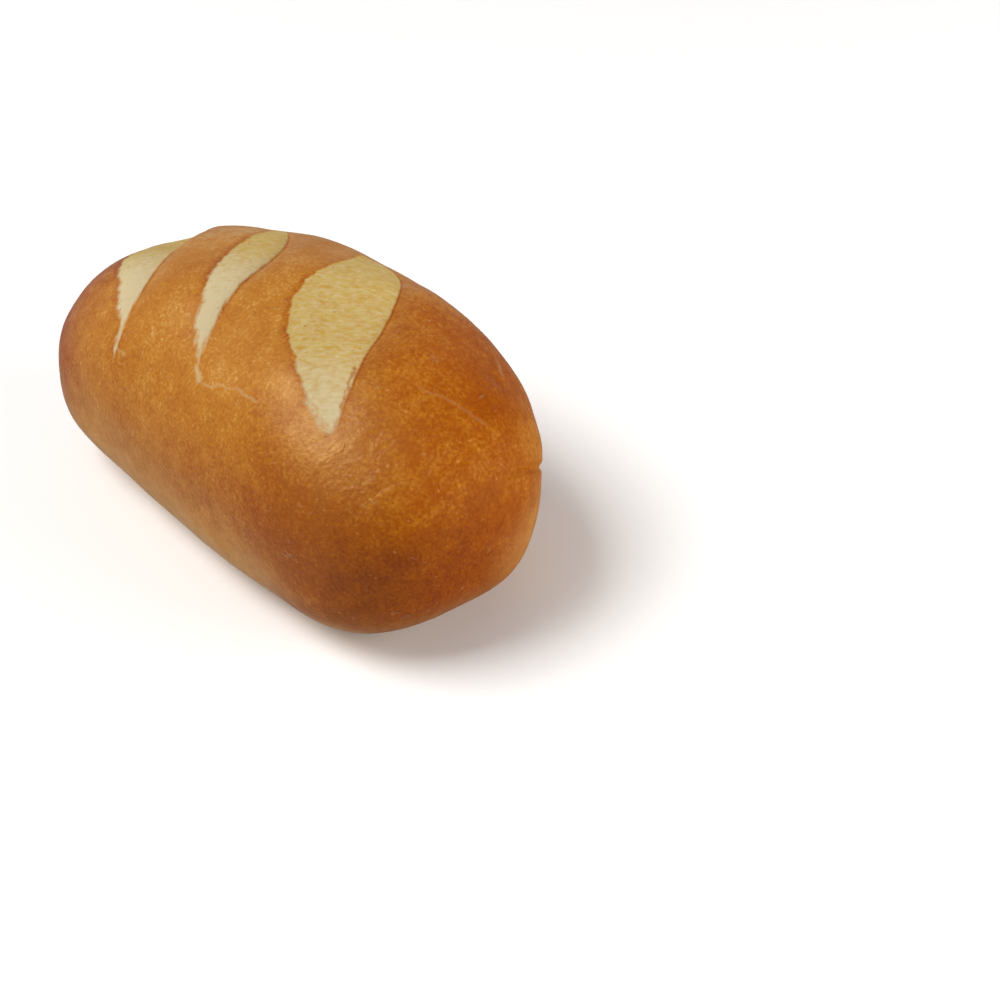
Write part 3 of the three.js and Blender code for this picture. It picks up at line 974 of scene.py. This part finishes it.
class SUBROLL_OT_stage(bpy.types.Operator):
    """Sets the pale floor, the soft lights and the camera"""

    bl_idname = "sub_roll.stage"
    bl_label = "Set the stage"

    def execute(self, context):
        scene = context.scene
        stage = scene.sub_roll_stage
        half = stage.floor_size / 2
        board = bpy.data.meshes.new("floor")
        corners = [(-half, -half, 0), (half, -half, 0), (half, half, 0), (-half, half, 0)]
        board.from_pydata(corners, [], [(0, 1, 2, 3)])
        board.materials.append(floor_material(stage.floor))
        floor = add_object("floor", board)
        floor.visible_glossy = False

        heart = Vector(stage.heart)
        level = math.cos(stage.elevation)
        back = Vector((
            math.sin(stage.azimuth) * level, -math.cos(stage.azimuth) * level, math.sin(stage.elevation)))
        camera = bpy.data.cameras.new("camera")
        camera.lens = stage.lens
        camera.sensor_width = SENSOR
        camera.clip_start = 0.01
        eye = add_object("camera", camera)
        eye.matrix_world = look_from(heart + back * stage.distance, Vector(stage.aim), stage.roll)
        scene.camera = eye

        add_softbox("key_light", stage.key_at, heart, stage.key_size, stage.key_power)
        fill = add_softbox("fill_light", stage.fill_at, heart, stage.fill_size, stage.fill_power)
        fill.visible_glossy = False
        world = bpy.data.worlds.new("white_room")
        world.use_nodes = True
        tree = world.node_tree
        node = partial(add_node, tree)
        way = node("TexCoord")["Generated"]
        lean = node("VectorMath", {0: way, 1: stage.room_side}, operation="DOT_PRODUCT")["Value"]
        strength = node("MapRange", {
            "Value": lean, "From Min": -stage.room_turn, "From Max": stage.room_turn,
            "To Min": stage.shade, "To Max": stage.room})[0]
        room = tree.nodes["Background"].inputs
        room["Color"].default_value = (1, 1, 1, 1)
        tree.links.new(strength, room["Strength"])
        scene.world = world
        scene.view_settings.view_transform = "Standard"
        return {"FINISHED"}


class SUBROLL_PT_panel(bpy.types.Panel):
    """Lists the roll's sizes, colours and steps"""

    bl_label = "Sub roll"
    bl_idname = "SUBROLL_PT_panel"
    bl_space_type = "VIEW_3D"
    bl_region_type = "UI"
    bl_category = "Sub roll"

    def draw(self, context):
        for operator in OPERATORS:
            self.layout.operator(operator.bl_idname)
        for name, group in GROUPS.items():
            box = self.layout.box()
            for prop in group.__annotations__:
                box.prop(getattr(context.scene, name), prop)


GROUPS = {
    "sub_roll_loaf": LoafSizes,
    "sub_roll_slash": SlashSizes,
    "sub_roll_skin": SkinSizes,
    "sub_roll_bake": BakeShares,
    "sub_roll_colours": CrustColours,
    "sub_roll_stage": StageSettings,
}
OPERATORS = (SUBROLL_OT_loaf, SUBROLL_OT_stage)
CLASSES = (*GROUPS.values(), *OPERATORS, SUBROLL_PT_panel)


def register():
    for each in CLASSES:
        bpy.utils.register_class(each)
    for name, group in GROUPS.items():
        setattr(bpy.types.Scene, name, bpy.props.PointerProperty(type=group))


def unregister():
    for name in GROUPS:
        delattr(bpy.types.Scene, name)
    for each in reversed(CLASSES):
        bpy.utils.unregister_class(each)


def main():
    register()
    bpy.ops.sub_roll.loaf()
    bpy.ops.sub_roll.stage()


if __name__ == "__main__":
    main()
